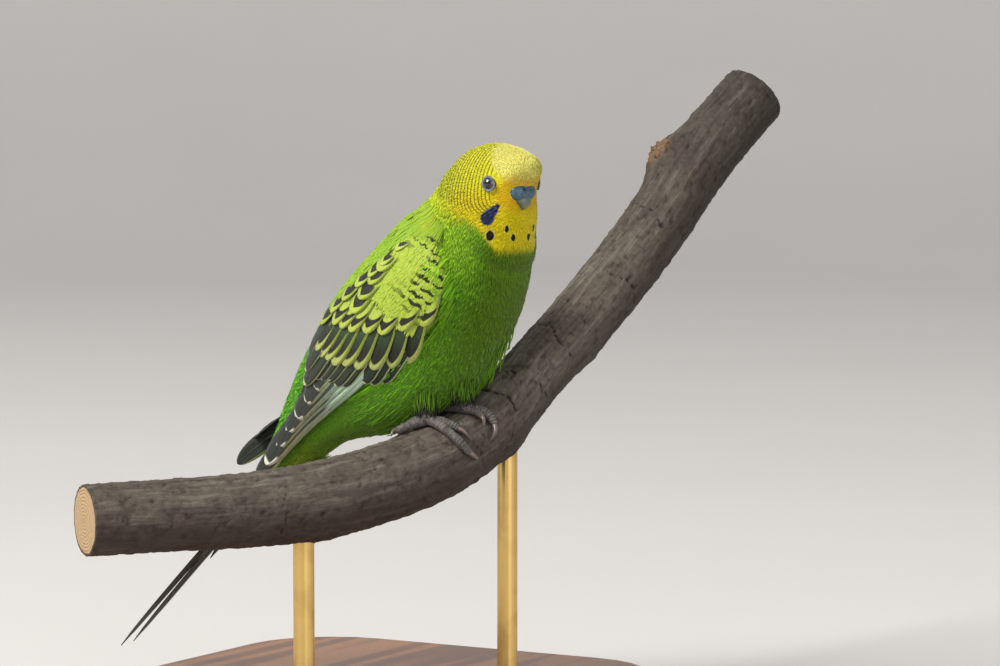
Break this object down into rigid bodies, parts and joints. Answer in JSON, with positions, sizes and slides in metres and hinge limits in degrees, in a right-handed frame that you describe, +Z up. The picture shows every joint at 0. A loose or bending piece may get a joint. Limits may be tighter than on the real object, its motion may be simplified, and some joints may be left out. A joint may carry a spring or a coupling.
{
  "type": "budgerigar",
  "caption": "Life-size green and yellow budgerigar perched on a short cut branch, which a flat display base holds up on upright rods.",
  "frame": {"origin": "centre of the display base's flat underside", "axes": "+Z up, the bird's body faces -Y and its left side is +X"},
  "size_m": [0.2319, 0.1659, 0.1915],
  "materials": {
    "head": "soft feathers, bright yellow",
    "neck": "soft feathers, yellow-green",
    "torso": "soft feathers, grass green",
    "wing_left": "feathers, dark with yellow-green edges",
    "wing_right": "feathers, dark with yellow-green edges",
    "tail": "feathers, blue-black",
    "eye_left": "wet gloss",
    "eye_right": "wet gloss",
    "cere": "satin, blue",
    "bill_upper": "satin horn, olive grey",
    "bill_lower": "satin horn, olive grey",
    "leg_left": "scaly skin, grey",
    "leg_right": "scaly skin, grey",
    "perch": "rough bark",
    "stand_base": "satin",
    "stand_rod_1": "brushed",
    "stand_rod_2": "brushed"
  },
  "bodies": {
    "root": {"head": "head", "neck": "neck", "torso": "torso", "wing_left": "wing_left", "wing_right": "wing_right", "tail": "tail", "eye_left": "eye_left", "eye_right": "eye_right", "cere": "cere", "bill_upper": "bill_upper", "bill_lower": "bill_lower", "leg_left": "leg_left", "leg_right": "leg_right", "perch": "perch", "stand_base": "stand_base", "stand_rod_1": "stand_rod_1", "stand_rod_2": "stand_rod_2"}
  },
  "joints": []
}
